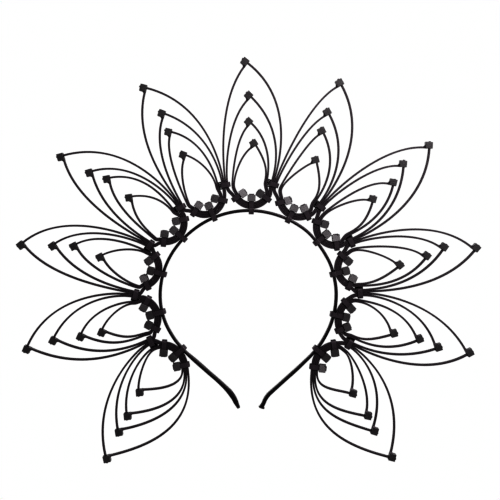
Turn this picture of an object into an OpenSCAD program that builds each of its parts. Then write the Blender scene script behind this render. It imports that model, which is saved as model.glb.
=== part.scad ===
// Halo crown: eleven petals of nested cable ties on a thin headband.
// The crown lies on its back. +Z is its front, +Y points through the top petal,
// and the origin is the centre of the headband's ring, on the surface below.

/* [Headband] */
// Thickness of the band round the ring
band_t = 2.1; // [1.8:0.1:2.4]
// Depth of the band, from back to front
band_depth = 5; // [4:0.5:6]

/* [Cable tie] */
// Width of a strap
strap_w = 3.6; // [3:0.1:4]
// Thickness of a strap
strap_t = 1.2; // [1:0.05:1.3]
// Length of a tie's head, along its strap
head_l = 5.2; // [5:0.1:5.6]
// Height of a tie's head, above the bundle that it closes on
head_h = 4.8; // [4.4:0.1:5]
// Width of a tie's head, across its strap
head_w = 5.8; // [5:0.1:6]
// Length of the cut tail that stands out of a head
tail_l = 0.6; // [0.3:0.1:1]

/* [Petals] */
// Gap between straps that lie side by side
strap_gap = 0.1; // [0.05:0.01:0.15]
// Gap between a bundle and the tie round it
tie_gap = 0.15; // [0.12:0.01:0.18]

/* [Hidden] */
LOOPS = 4;
black = "#1b1a1c";
band_black = "#161517";

// Each petal, counter-clockwise from the lower right. Angles are in degrees.
// seat: place of its foot on the band
// axis: direction in which the foot opens
// foot_r: outer radius of the bend at its foot
// clamps: places round the foot of the two outer clamps, clockwise side first
// bends: where the foot's bend ends on either side, and its straps run on straight
// tip_r, tip_a: places of its four tie heads from the crown's centre, outermost first
// turns: how far each of those heads is turned from its loop's own line
PETALS = [
    // seat, axis, foot_r, clamps,   bends,     tip_r,                      tip_a,                        turns
    [323.1, 319,   18.5, [-41, 42], [-34, 50], [159, 136, 124.5, 105],     [312.1, 313.5, 315.5, 317.7], [-1, -3, 0, -4]],
    [349.1, 348,   20,   [-35, 36], [-44, 46], [169, 145.5, 130.5, 111],   [346.2, 345.5, 346.6, 346.4], [0, -8, -5, -8]],
    [15.8,  14.8,  16,   [-54, 57], [-50, 63], [173, 150, 136, 115],       [12.5, 14.7, 13.4, 12.4],     [-4, -3, -3, -10]],
    [39.3,  40,    16,   [-56, 57], [-67, 63], [175.5, 152, 137.5, 118],   [40.3, 41, 38.7, 38.6],       [1, -2, -5, -6]],
    [63,    64,    16.8, [-51, 50], [-61, 56], [173.5, 150, 135.5, 114],   [67.1, 67.1, 66.4, 64.2],     [4, 3, 2, -5]],
    [88.2,  89,    16,   [-55, 55], [-66, 60], [175.5, 150.5, 131, 115],   [90.9, 90, 90, 88.1],         [5, 0, 1, -7]],
    [113.2, 114,   16,   [-54, 57], [-63, 60], [174.5, 151.5, 137, 117],   [116.6, 115.2, 115.8, 114.6], [2, -1, 3, -1]],
    [137.5, 139.5, 16,   [-53.3, 56], [-66.5, 58], [174.5, 150.5, 137.5, 116], [143.1, 141.8, 140, 140],     [4, 6, 4, 1]],
    [164.2, 165,   16.4, [-53, 53], [-60, 56], [173.5, 150.5, 135.5, 114.5], [166.9, 165.1, 163.5, 164.6], [6, 4, 1, -2]],
    [189,   195.5, 17.5, [-46, 45], [-57, 50], [169, 148.5, 128, 112],     [193, 192.3, 193, 193.2],     [6, 4, 4, 2]],
    [217.5, 222,   18.5, [-44, 37], [-49, 32], [159, 138.5, 125.5, 107],   [228.6, 226, 224.3, 220.9],   [-1, -2, -4, 1]]
];

// Each junction tie, counter-clockwise: radius and angle of its middle, and its own turn.
// The first stands between petals 0 and 1.
JUNCTIONS = [
    // r,   angle, turn
    [82.1, 335.5, -4],
    [82.8, 2.6,   3],
    [86.8, 28.6,  -4],
    [86.3, 51.8,  2],
    [86.4, 77.6,  -6],
    [85.8, 101.7, -2],
    [84,   126.8, -7],
    [83,   151.7, -4],
    [83.8, 178.3, -12],
    [79.3, 203.8, 2]
];

// How far each strand bows out between its junction and its head: the reach of its curve at the
// head, as a part of the strand's span. Clockwise side first, outermost loop first.
BOWS = [
    // clockwise side,         counter-clockwise side
    [[0.38, 0.4, 0.46, 0.46],  [0.58, 0.58, 0.38, 0.3]],
    [[0.46, 0.52, 0.54, 0.6],  [0.48, 0.5, 0.48, 0.42]],
    [[0.46, 0.52, 0.5, 0.52],  [0.44, 0.38, 0.28, 0.16]],
    [[0.5, 0.56, 0.5, 0.58],   [0.38, 0.32, 0.32, 0.24]],
    [[0.52, 0.54, 0.52, 0.58], [0.3, 0.3, 0.18, 0.14]],
    [[0.52, 0.56, 0.48, 0.58], [0.38, 0.36, 0.3, 0.3]],
    [[0.52, 0.52, 0.48, 0.4],  [0.46, 0.4, 0.3, 0.32]],
    [[0.52, 0.48, 0.5, 0.48],  [0.4, 0.46, 0.38, 0.44]],
    [[0.44, 0.42, 0.4, 0.34],  [0.38, 0.44, 0.34, 0.32]],
    [[0.52, 0.54, 0.46, 0.34], [0.54, 0.54, 0.58, 0.6]],
    [[0.52, 0.52, 0.48, 0.2],  [0.38, 0.26, 0.34, 0.14]]
];

// Distance of each loop's strap from the middle of a junction tie, outermost loop first
pass_off = [0.65, 1.95, 5.45, 6.75];
// Turn of the two inner loops beside a junction tie, counter-clockwise and clockwise side
inner_turn = [-14, -1];
// Half of the straight run through a junction tie
pass_half = strap_w / 2 + 0.1;
// Reach of a strand's curve where it leaves its junction, as a part of the strand's span,
// outermost loop first, and where it leaves the foot on the two sides that have no junction
junction_pull = [0.12, 0.12, 0.16, 0.25];
free_pull = 0.5;
// Reach of the curve between a foot and its junction
knee_pull = 0.35;
// Least part of the foot that lies past its outer clamps, in degrees
clamp_past = 5;
// Room between a foot and the band, between the band and the tie round both, and between
// the edges of a head and the curved bundle that it sits in
seat_gap = 0.15;
band_gap = 0.3;
edge_gap = 0.4;

// Short runs in a strand's curve, in a knee, round a foot and round a tie's corner
strand_steps = 16;
knee_steps = 6;
foot_steps = 14;
corner_steps = 4;

pitch = strap_t + strap_gap;
stack = LOOPS * strap_t + (LOOPS - 1) * strap_gap;
// Distance from an attached strap's end of the head to the middle of the slot
slot_back = 3.2;
slot_play = 0.2;
head_cut = 0.4;
// Corner radius of a clamping strap, to its middle
corner_r = strap_t / 2 + 0.3;
// Height of the middle of the straps above the surface, where the junction heads rest
mid_z = head_h + tie_gap + strap_w / 2;
// How far a flush cut tail lies below the face of its head
flush_cut = 0.1;
// Length of a strap's root inside its head
root_l = 1;

// Headband, from the tip of its right arm round the ring to the tip of its left arm:
// angle and distance of the band's middle from the origin, and its thickness there
BAND = [
    // angle, dist, thick
    [-83.4, 82.4, 4.5], [-83.1, 81.5, 4.4], [-82.9, 80.8, 3.1], [-82, 79.1, 2.9], [-80.4, 75.8, 2.9],
    [-78.2, 73.1, 2.9], [-76.6, 71.9, 2.8], [-70.4, 68.3, 2.6], [-63.7, 65.6, 2.6], [-56.5, 63.9, 2.6],
    [-49, 63, 2.4], [-42, 63, 2.2], [-36.9, 63.1, band_t], [-29, 63.5, band_t], [-16, 64.2, band_t],
    [-3, 64.9, band_t], [10, 65.4, band_t], [25, 65.7, band_t], [45, 65.8, band_t], [60, 65.5, band_t],
    [75, 65.1, band_t], [90, 65, band_t], [105, 65, band_t], [120, 65.1, band_t], [135, 65.4, band_t],
    [148, 65.8, band_t], [160, 66, band_t], [172, 65.8, band_t], [184, 65.4, band_t], [196, 64.4, band_t],
    [208, 62.9, band_t], [217.5, 61.8, band_t], [222, 61.4, 2.4], [228, 61, 3], [235.4, 61.4, 3.1],
    [242.4, 62.8, 3], [249.1, 65, 3], [255.1, 68.3, 3.3], [258.4, 70.9, 3.9], [260, 72.7, 4],
    [261.5, 74.7, 3.9], [263.2, 78, 3.6], [263.8, 79.3, 3], [265, 82, 2.2]
];
band_steps = 4;

// Direction at an angle, and the same turned a quarter counter-clockwise
function unit(a) = [cos(a), sin(a)];
function quarter(v) = [-v.y, v.x];
function angle_of(v) = atan2(v.y, v.x);

// Named columns of the tables
function axis(i) = PETALS[i][1];
function foot_r(i) = PETALS[i][2];
function clamp_place(i, side) = PETALS[i][3][side > 0 ? 1 : 0];
function bend_end(i, side) = PETALS[i][4][side > 0 ? 1 : 0];
function tip_point(i, k) = PETALS[i][5][k] * unit(PETALS[i][6][k]);
function tip_turn(i, k) = PETALS[i][7][k];
function bow(i, side, k) = BOWS[i][side > 0 ? 1 : 0][k];
function junction_point(j) = JUNCTIONS[j][0] * unit(JUNCTIONS[j][1]);
function junction_dir(j) = JUNCTIONS[j][1] + JUNCTIONS[j][2];

// A smooth curve from p0 in direction d0 to p1 in direction d1, without its first point
function curve(p0, d0, reach0, p1, d1, reach1, steps) =
    let (a = p0 + reach0 * d0, b = p1 - reach1 * d1)
    [for (s = [1:steps]) let (t = s / steps, q = 1 - t)
        q * q * q * p0 + 3 * q * q * t * a + 3 * q * t * t * b + t * t * t * p1];

// The headband's middle line, and its thickness at each of that line's points
function band_point(n) = BAND[n][1] * unit(BAND[n][0]);
function band_dir(n) =
    let (v = band_point(min(n + 1, len(BAND) - 1)) - band_point(max(n - 1, 0))) v / norm(v);
band_path = [band_point(0), for (n = [1:len(BAND) - 1])
    let (reach = norm(band_point(n) - band_point(n - 1)) / 3)
    each curve(band_point(n - 1), band_dir(n - 1), reach, band_point(n), band_dir(n), reach, band_steps)];
band_thick = [for (n = [0:len(band_path) - 1]) lookup(n / band_steps, [for (m = [0:len(BAND) - 1]) [m, BAND[m][2]]])];
// Distance of that line from the origin, against the angle
band_line = [for (p = band_path) [(angle_of(p) + 450) % 360 - 90, norm(p)]];

// Where a petal sits on the band, and the centre of its foot's bend
function seat_point(i) = lookup((PETALS[i][0] + 90) % 360 - 90, band_line) * unit(PETALS[i][0]);
function foot_centre(i) = seat_point(i) + (band_t / 2 + seat_gap + foot_r(i)) * unit(axis(i));

// The junction on a petal's side, counter-clockwise side 1 and clockwise side -1
function junction_index(i, side) = side > 0 ? i : i - 1;
function is_tied(i, side) = let (j = junction_index(i, side)) j >= 0 && j < len(JUNCTIONS);

// Where a loop passes its junction, and in which direction
function pass_point(i, side, k) =
    let (j = junction_index(i, side))
    junction_point(j) - side * pass_off[k] * quarter(unit(junction_dir(j)));
function pass_dir(i, side, k) =
    let (j = junction_index(i, side))
    unit(k < 2 ? junction_dir(j) : JUNCTIONS[j][1] + inner_turn[side > 0 ? 0 : 1]);

// Places round a foot are angles on its bend. Past the bend's end they go on along a straight,
// as far as they would on the bend's outer face.
function turned(i, a) = let (end = bend_end(i, a)) abs(a) < abs(end) ? a : end;
function straight(i, a) = (abs(a) - abs(turned(i, a))) * foot_r(i) * PI / 180;
function along(i, a) =
    let (v = quarter(unit(axis(i)))) sign(a) * cos(turned(i, a)) * v + abs(sin(turned(i, a))) * unit(axis(i));
function foot_point(i, k, a) =
    let (r = foot_r(i) - strap_t / 2 - pitch * k, v = quarter(unit(axis(i))))
    foot_centre(i) + r * (sin(turned(i, a)) * v - cos(turned(i, a)) * unit(axis(i)))
    + straight(i, a) * along(i, a);

// Where a petal's straps leave the foot
function foot_end(i, side) =
    let (end = abs(bend_end(i, side)), past = abs(clamp_place(i, side)) + clamp_past) side * max(end, past);

// Middle of a loop's waist, from which its head's direction is taken
function waist(i, side, k) =
    is_tied(i, side) ? pass_point(i, side, k) : foot_point(i, k, foot_end(i, side));
function loop_dir(i, k) =
    angle_of(tip_point(i, k) - (waist(i, 1, k) + waist(i, -1, k)) / 2) + tip_turn(i, k);

// The head at a petal's tip: direction of its attached strap, direction of its slot,
// and the middle of the slot in the face that the loop's free end enters
function strap_dir(i, k) = unit(loop_dir(i, k) + 135);
function slot_dir(i, k) = unit(loop_dir(i, k) + 45);
function slot_point(i, k) =
    tip_point(i, k) + (head_l / 2 - slot_back) * strap_dir(i, k)
    - head_h / 2 * slot_dir(i, k);

// Where a strand meets the head, and in which direction
function tip_end(i, side, k) =
    side > 0
    ? slot_point(i, k) + slot_back * strap_dir(i, k) + strap_t / 2 * slot_dir(i, k)
    : slot_point(i, k);
function tip_dir(i, side, k) = side > 0 ? -strap_dir(i, k) : slot_dir(i, k);

// A line moved sideways by a distance. Its directions at both ends are given.
function shifted(path, d0, d1, dist) =
    let (last = len(path) - 1)
    [for (n = [0:last])
        let (d = n == 0 ? d0 : n == last ? d1 : path[n + 1] - path[n - 1]) path[n] + dist * quarter(d) / norm(d)];

// A loop's strap from its foot to its junction. Loops 2 and 4 lie against loops 1 and 3.
function knee(i, side, k) =
    let (outer = k - k % 2,
         start = foot_point(i, outer, foot_end(i, side)),
         dir = along(i, foot_end(i, side)),
         p = pass_point(i, side, outer) - (k < 2 ? pass_half : 0) * pass_dir(i, side, outer),
         reach = norm(pass_point(i, side, 0) - foot_point(i, 0, foot_end(i, side))) * knee_pull,
         path = concat([start], curve(start, dir, reach, p, pass_dir(i, side, outer), reach, knee_steps)))
    k == outer ? path : shifted(path, dir, pass_dir(i, side, outer), -side * pitch);

// A strand from the end of the foot, past the junction, to the head
function strand(i, side, k) =
    let (end = tip_end(i, side, k),
         end_dir = tip_dir(i, side, k))
    is_tied(i, side)
    ? let (way = knee(i, side, k),
           d = pass_dir(i, side, k),
           p = way[len(way) - 1] + (k < 2 ? 2 * pass_half : 0) * d,
           span = norm(end - p))
      concat(
          way,
          k < 2 ? [p] : [],
          curve(p, d, span * junction_pull[k],
                end, end_dir, span * bow(i, side, k), strand_steps))
    : let (start = foot_point(i, k, foot_end(i, side)),
           span = norm(end - start))
      concat(
          [start],
          curve(start, along(i, foot_end(i, side)), span * free_pull,
                end, end_dir, span * bow(i, side, k), strand_steps + knee_steps));

function reversed(list) = [for (n = [len(list) - 1:-1:0]) list[n]];

// The whole middle line of a petal's tie, from its root in the head to its cut tail
function loop_path(i, k) =
    let (from = foot_end(i, 1), to = foot_end(i, -1))
    concat(
        [tip_end(i, 1, k) - root_l * strap_dir(i, k)],
        reversed(strand(i, 1, k)),
        [for (s = [1:foot_steps - 1]) foot_point(i, k, from + (to - from) * s / foot_steps)],
        strand(i, -1, k),
        [slot_point(i, k) + (head_h + tail_l) * slot_dir(i, k)]);

// Both edges of a line, half a thickness away on either side
function edge_normal(path, n) =
    let (v = path[min(n + 1, len(path) - 1)] - path[max(n - 1, 0)]) quarter(v) / norm(v);
function outline(path, thick) =
    let (last = len(path) - 1,
         half = [for (n = [0:last]) (is_list(thick) ? thick[n] : thick) / 2])
    concat([for (n = [0:last]) path[n] + half[n] * edge_normal(path, n)],
           [for (n = [last:-1:0]) path[n] - half[n] * edge_normal(path, n)]);

// A corner at b on the way from a to c, turned into an arc
function corner(a, b, c, r) =
    let (d0 = (b - a) / norm(b - a),
         d1 = (c - b) / norm(c - b),
         turn = atan2(cross(d0, d1), d0 * d1),
         side = sign(turn) * quarter(d0),
         centre = b - abs(tan(turn / 2)) * r * d0 + r * side)
    [for (s = [0:corner_steps]) let (f = abs(turn) * s / corner_steps)
        centre - r * cos(f) * side + r * sin(f) * d0];
function rounded(points, r) =
    concat([points[0]],
           [for (n = [1:len(points) - 2]) each corner(points[n - 1], points[n], points[n + 1], r)],
           [points[len(points) - 1]]);

// The head of a tie. Its slot runs along Y through the origin, and the bundle is at +Y.
module tie_head() {
    length = [-slot_back, head_l - slot_back];
    difference() {
        intersection() {
            linear_extrude(head_w, center = true)
                polygon([[length[0], 0], [length[1], 0],
                         [length[1], -head_h + head_cut], [length[1] - head_cut, -head_h],
                         [length[0] + head_cut, -head_h], [length[0], -head_h + head_cut]]);
            rotate([0, 90, 0]) linear_extrude(4 * head_l, center = true)
                polygon([[-head_w / 2, 1], [head_w / 2, 1],
                         [head_w / 2, -head_h + head_cut], [head_w / 2 - head_cut, -head_h],
                         [-head_w / 2 + head_cut, -head_h], [-head_w / 2, -head_h + head_cut]]);
        }
        translate([0, -head_h / 2, 0])
            cube([strap_t + 2 * slot_play, 2 * head_h, strap_w + 2 * slot_play], center = true);
    }
}

// A tie closed round a bundle that is wide at its foot and far_w wide past near_h.
// The bundle stands on the origin along +Y, and the head is under it, its slot at +X.
module clamp_tie(wide, high, far_w, near_h, tail) {
    off = tie_gap + strap_t / 2;
    slot_x = wide / 2 + off;
    far_x = far_w / 2 + off;
    step = far_w > wide ? [[-slot_x, near_h - (far_x - slot_x)], [-far_x, near_h]] : [];
    back = [for (p = step) [p.x, p.y]];
    front = [for (p = reversed(step)) [-p.x, p.y]];
    path = rounded(
        concat([[slot_x - slot_back + root_l, -off], [-slot_x, -off]], back,
               [[-far_x, high + off], [far_x, high + off]], front,
               [[slot_x, -tie_gap - head_h - tail]]),
        corner_r);
    linear_extrude(strap_w, center = true) polygon(outline(path, strap_t));
    translate([slot_x, -tie_gap, 0]) tie_head();
}

// Headband: a strip bent into the ring, with two arms
module headband() {
    color(band_black) translate([0, 0, mid_z - band_depth / 2]) linear_extrude(band_depth)
        polygon(outline(band_path, band_thick));
}

// One tie of a petal: its strap on edge, and the head at the petal's tip
module petal_loop(i, k) {
    color(black) {
        translate([0, 0, mid_z - strap_w / 2]) linear_extrude(strap_w)
            polygon(outline(loop_path(i, k), strap_t));
        translate([slot_point(i, k).x, slot_point(i, k).y, mid_z])
            rotate(loop_dir(i, k) - 45) mirror([0, 1, 0]) tie_head();
    }
}

// Three clamps round a petal's foot. The middle one closes round the headband too.
module petal_clamps(i) {
    r = foot_r(i);
    // Height of the bundle's inner face where a head rests, on its two edges
    inside = sqrt(pow(r - stack, 2) - pow(head_w / 2 + edge_gap, 2));
    color(black) for (a = [clamp_place(i, -1), 0, clamp_place(i, 1)])
        translate([each foot_centre(i) + straight(i, a) * along(i, a), mid_z])
            rotate(axis(i) + 180 - turned(i, a)) translate([inside, 0, 0])
                rotate([90, 0, 0]) rotate(-90) mirror([1, 0, 0])
                    if (a == 0)
                        clamp_tie(strap_w, r - inside + seat_gap + band_t + band_gap,
                                  band_depth, r - inside - band_gap, tail_l);
                    else clamp_tie(strap_w, r - inside, strap_w, r - inside, tail_l);
}

// Ties that join each petal to the next, with their heads at the back
module junction_ties() {
    color(black) for (j = [0:len(JUNCTIONS) - 1])
        translate([junction_point(j).x, junction_point(j).y, mid_z - strap_w / 2])
            rotate(junction_dir(j) - 90) rotate([90, 0, 0]) mirror([1, 0, 0])
                clamp_tie(stack, strap_w, stack, strap_w, -flush_cut);
}

headband();
for (i = [0:len(PETALS) - 1], k = [0:LOOPS - 1])
    petal_loop(i, k);
for (i = [0:len(PETALS) - 1])
    petal_clamps(i);
junction_ties();
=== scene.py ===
# %% [markdown]
# # A halo crown made of cable ties
#
# The real crown is a plain hair band with eleven petals on it. Each petal is four nested loops, and
# each loop is one black nylon cable tie. Shorter ties clamp the loops to each other and to the band.
# This lesson dresses a measured model of that crown: the model says where every piece is, and
# Blender gives the pieces their teeth, rounded edges and finish.
#
# The first cell loads the measured model. Its pieces are hidden one by one as better ones replace them.

# %% Load the measured model
from collections import namedtuple
import bpy
import numpy as np
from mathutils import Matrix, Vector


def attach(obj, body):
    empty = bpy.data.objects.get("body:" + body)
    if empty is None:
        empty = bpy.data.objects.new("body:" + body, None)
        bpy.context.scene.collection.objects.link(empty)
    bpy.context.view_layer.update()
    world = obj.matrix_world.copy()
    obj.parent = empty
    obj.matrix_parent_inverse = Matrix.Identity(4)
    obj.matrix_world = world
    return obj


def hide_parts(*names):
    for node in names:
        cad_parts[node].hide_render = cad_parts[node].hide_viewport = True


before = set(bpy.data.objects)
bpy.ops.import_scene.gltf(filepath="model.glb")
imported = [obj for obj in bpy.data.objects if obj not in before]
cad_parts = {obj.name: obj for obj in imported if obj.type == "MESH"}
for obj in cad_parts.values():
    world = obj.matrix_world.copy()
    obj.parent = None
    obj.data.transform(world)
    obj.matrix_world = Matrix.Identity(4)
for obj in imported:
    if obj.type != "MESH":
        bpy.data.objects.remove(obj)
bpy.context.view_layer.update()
print("pieces in the measured model:", len(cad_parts))

# %% [markdown]
# ## Sizes
#
# Lengths are written in millimetres, because that is how a tie is sold, and turned into Blender's
# metres only when a mesh is made. One tie strap is 3.6 mm wide and 1.2 mm thick. Its head is a box
# of about 5 mm with a slot through it. Pieces that touch on the real crown keep a small gap in the
# measured model, so that each one stays a piece of its own.

# %% Sizes of a tie and of the band, in millimetres
MM = 0.001
STRAP_W, STRAP_T = 3.6, 1.2
HEAD_L, HEAD_H, HEAD_W = 5.2, 4.8, 5.8
BAND_T, BAND_DEPTH = 2.1, 5.0
# From the end of a head where its strap leaves it: the middle of the slot, and the strap's root
SLOT_BACK, ROOT = 3.2, 1.0
# How far a cut end stands out of its head, and how far a flush one lies inside
TAIL, FLUSH_CUT = 0.6, 0.1
# Gaps: strap to strap, short tie to bundle, petal to band, band to its clamp, beside a clamp's head
STRAP_GAP, TIE_GAP, SEAT_GAP, BAND_GAP, EDGE_GAP = 0.1, 0.15, 0.15, 0.3, 0.4
# A bundle: how many straps, from one to the next, all of them, and their middle above the floor
LOOPS = 4
PITCH = STRAP_T + STRAP_GAP
STACK = LOOPS * STRAP_T + (LOOPS - 1) * STRAP_GAP
MID_Z = HEAD_H + TIE_GAP + STRAP_W / 2
print("height of the middle of the straps above the floor:", MID_Z, "mm")

# %% [markdown]
# ## The tables
#
# No two petals are quite alike, because the crown is made by hand. What differs is kept in tables,
# one row for each petal, counter-clockwise from the lower right. Angles are in degrees. Everything
# else follows from the way the ties run, so the tables stay short.

# %% What differs from petal to petal
# seat: place of the foot on the band; axis: direction in which the foot opens; foot_r: its radius
# clamps: places of the outer clamps; bends: ends of the foot's bend (clockwise side first)
# tip_r, tip_angle: places of the four heads, outermost first; turns: how far each head is turned
Petal = namedtuple("Petal", "seat axis foot_r clamps bends tip_r tip_angle turns")
PETALS = [Petal(*row) for row in (
    (323.1, 319, 18.5, (-41, 42), (-34, 50),
     (159, 136, 124.5, 105), (312.1, 313.5, 315.5, 317.7), (-1, -3, 0, -4)),
    (349.1, 348, 20, (-35, 36), (-44, 46),
     (169, 145.5, 130.5, 111), (346.2, 345.5, 346.6, 346.4), (0, -8, -5, -8)),
    (15.8, 14.8, 16, (-54, 57), (-50, 63),
     (173, 150, 136, 115), (12.5, 14.7, 13.4, 12.4), (-4, -3, -3, -10)),
    (39.3, 40, 16, (-56, 57), (-67, 63),
     (175.5, 152, 137.5, 118), (40.3, 41, 38.7, 38.6), (1, -2, -5, -6)),
    (63, 64, 16.8, (-51, 50), (-61, 56),
     (173.5, 150, 135.5, 114), (67.1, 67.1, 66.4, 64.2), (4, 3, 2, -5)),
    (88.2, 89, 16, (-55, 55), (-66, 60),
     (175.5, 150.5, 131, 115), (90.9, 90, 90, 88.1), (5, 0, 1, -7)),
    (113.2, 114, 16, (-54, 57), (-63, 60),
     (174.5, 151.5, 137, 117), (116.6, 115.2, 115.8, 114.6), (2, -1, 3, -1)),
    (137.5, 139.5, 16, (-53.3, 56), (-66.5, 58),
     (174.5, 150.5, 137.5, 116), (143.1, 141.8, 140, 140), (4, 6, 4, 1)),
    (164.2, 165, 16.4, (-53, 53), (-60, 56),
     (173.5, 150.5, 135.5, 114.5), (166.9, 165.1, 163.5, 164.6), (6, 4, 1, -2)),
    (189, 195.5, 17.5, (-46, 45), (-57, 50),
     (169, 148.5, 128, 112), (193, 192.3, 193, 193.2), (6, 4, 4, 2)),
    (217.5, 222, 18.5, (-44, 37), (-49, 32),
     (159, 138.5, 125.5, 107), (228.6, 226, 224.3, 220.9), (-1, -2, -4, 1)),
)]
# The petal at the top, counted from 0
TOP = 5
# How far each strand bows out below its head, as a share of its span: clockwise side first
BOWS = [
    ((0.38, 0.4, 0.46, 0.46), (0.58, 0.58, 0.38, 0.3)),
    ((0.46, 0.52, 0.54, 0.6), (0.48, 0.5, 0.48, 0.42)),
    ((0.46, 0.52, 0.5, 0.52), (0.44, 0.38, 0.28, 0.16)),
    ((0.5, 0.56, 0.5, 0.58), (0.38, 0.32, 0.32, 0.24)),
    ((0.52, 0.54, 0.52, 0.58), (0.3, 0.3, 0.18, 0.14)),
    ((0.52, 0.56, 0.48, 0.58), (0.38, 0.36, 0.3, 0.3)),
    ((0.52, 0.52, 0.48, 0.4), (0.46, 0.4, 0.3, 0.32)),
    ((0.52, 0.48, 0.5, 0.48), (0.4, 0.46, 0.38, 0.44)),
    ((0.44, 0.42, 0.4, 0.34), (0.38, 0.44, 0.34, 0.32)),
    ((0.52, 0.54, 0.46, 0.34), (0.54, 0.54, 0.58, 0.6)),
    ((0.52, 0.52, 0.48, 0.2), (0.38, 0.26, 0.34, 0.14)),
]
# Ties between one petal and the next: radius and angle of the middle, and the tie's own turn
Junction = namedtuple("Junction", "r angle turn")
JUNCTIONS = [Junction(*row) for row in (
    (82.1, 335.5, -4), (82.8, 2.6, 3), (86.8, 28.6, -4), (86.3, 51.8, 2), (86.4, 77.6, -6),
    (85.8, 101.7, -2), (84, 126.8, -7), (83, 151.7, -4), (83.8, 178.3, -12), (79.3, 203.8, 2),
)]
print("petals:", len(PETALS), "junction ties:", len(JUNCTIONS))

# %% [markdown]
# ## Directions and curves
#
# Everything that a tie does happens in a plane, so its middle line is worked out in two dimensions
# first. Two ends with a direction each are joined by a cubic curve. That is the shape which a curve
# object gives between two points with handles. Here the formula is written out, so that the same
# few numbers can drive a thousand points at once.

# %% Directions and a cubic curve
def unit(angle):
    """Direction at an angle in degrees: its cosine and sine."""
    return np.array([np.cos(np.radians(angle)), np.sin(np.radians(angle))])


def quarter(v):
    """The same vectors, turned a quarter counter-clockwise: (x, y) becomes (-y, x)."""
    return np.stack([-v[..., 1], v[..., 0]], axis=-1)


def angle_of(v):
    """Angle of a vector in degrees: the arc tangent of y over x, in the right quadrant."""
    return np.degrees(np.arctan2(v[..., 1], v[..., 0]))


def unit_rows(rows):
    """Each row divided by its length: the root of the sum of its squares."""
    return rows / np.linalg.norm(rows, axis=1, keepdims=True)


def lengths_along(line):
    """Length of a line up to each of its points: the running sum of the distances between them."""
    return np.concatenate([[0], np.cumsum(np.linalg.norm(np.diff(line, axis=0), axis=1))])


def read_at(at, s, rows):
    """Both columns of rows known at the lengths s, read at other lengths: straight lines between."""
    return np.stack([np.interp(at, s, rows[:, column]) for column in (0, 1)], axis=1)


def cubic(p0, d0, reach0, p1, d1, reach1, steps):
    """Points on a cubic from p0 in direction d0 to p1 in direction d1, without p0: the four control
    points are weighted by (1-t)^3, 3t(1-t)^2, 3t^2(1-t) and t^3."""
    t = (np.arange(1, steps + 1) / steps)[:, None]
    q = 1 - t
    return (q ** 3 * p0 + 3 * q * q * t * (p0 + reach0 * d0)
            + 3 * q * t * t * (p1 - reach1 * d1) + t ** 3 * p1)


print("unit(0), turned a quarter, points at %.0f degrees" % angle_of(quarter(unit(0))))

# %% [markdown]
# ## The band's line
#
# The band is one strip, bent into a ring of 130 mm with two arms that come closer at their ends.
# It isn't a true circle, so its middle line is given by stations: an angle, a distance from the
# centre and a thickness. The petals sit on this line.

# %% Stations of the band: angle, distance, thickness
BAND = np.array([
    (-83.4, 82.4, 4.5), (-83.1, 81.5, 4.4), (-82.9, 80.8, 3.1), (-82, 79.1, 2.9), (-80.4, 75.8, 2.9),
    (-78.2, 73.1, 2.9), (-76.6, 71.9, 2.8), (-70.4, 68.3, 2.6), (-63.7, 65.6, 2.6), (-56.5, 63.9, 2.6),
    (-49, 63, 2.4), (-42, 63, 2.2), (-36.9, 63.1, BAND_T), (-29, 63.5, BAND_T), (-16, 64.2, BAND_T),
    (-3, 64.9, BAND_T), (10, 65.4, BAND_T), (25, 65.7, BAND_T), (45, 65.8, BAND_T), (60, 65.5, BAND_T),
    (75, 65.1, BAND_T), (90, 65, BAND_T), (105, 65, BAND_T), (120, 65.1, BAND_T), (135, 65.4, BAND_T),
    (148, 65.8, BAND_T), (160, 66, BAND_T), (172, 65.8, BAND_T), (184, 65.4, BAND_T), (196, 64.4, BAND_T),
    (208, 62.9, BAND_T), (217.5, 61.8, BAND_T), (222, 61.4, 2.4), (228, 61, 3), (235.4, 61.4, 3.1),
    (242.4, 62.8, 3), (249.1, 65, 3), (255.1, 68.3, 3.3), (258.4, 70.9, 3.9), (260, 72.7, 4),
    (261.5, 74.7, 3.9), (263.2, 78, 3.6), (263.8, 79.3, 3), (265, 82, 2.2),
])
COARSE_STEPS, FINE_STEPS = 4, 8


def band_line(steps):
    """Middle line of the band and its thickness there: cubics between the stations, each with a
    third of the distance as reach and the direction from the station before to the one after."""
    at = np.radians(BAND[:, 0])
    points = BAND[:, 1:2] * np.stack([np.cos(at), np.sin(at)], axis=1)
    ahead = np.concatenate([points[1:], points[-1:]]) - np.concatenate([points[:1], points[:-1]])
    ahead = unit_rows(ahead)
    line = [points[:1]]
    for n in range(1, len(points)):
        reach = np.linalg.norm(points[n] - points[n - 1]) / 3
        line.append(cubic(points[n - 1], ahead[n - 1], reach, points[n], ahead[n], reach, steps))
    line = np.concatenate(line)
    thick = np.interp(np.arange(len(line)) / steps, np.arange(len(BAND)), BAND[:, 2])
    return line, thick


def from_below(angle):
    """The same angle in degrees, counted from straight down: -90, over 0 and 180, to 270. It is what
    is left of the angle plus 90 after whole turns, less 90."""
    return (angle + 90) % 360 - 90


coarse_line = band_line(COARSE_STEPS)[0]
LINE_ANGLE, LINE_DIST = from_below(angle_of(coarse_line)), np.linalg.norm(coarse_line, axis=1)
across_ring = np.interp((0, 180), LINE_ANGLE, LINE_DIST).sum()
print("band stations:", len(BAND), "middle line across the ring: %.0f mm" % across_ring)

# %% [markdown]
# ## How a loop runs
#
# A loop starts at its head, at the petal's tip. Its strap comes down on the counter-clockwise side,
# passes the junction tie, goes round the petal's foot on the band, and climbs the other side into
# the head's slot. The four loops of a petal lie against each other at the foot, so one bend with
# four radii serves all of them.

# %% The foot of a petal
# How far past the outer clamp the straps leave the foot, in degrees
CLAMP_PAST = 5


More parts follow.
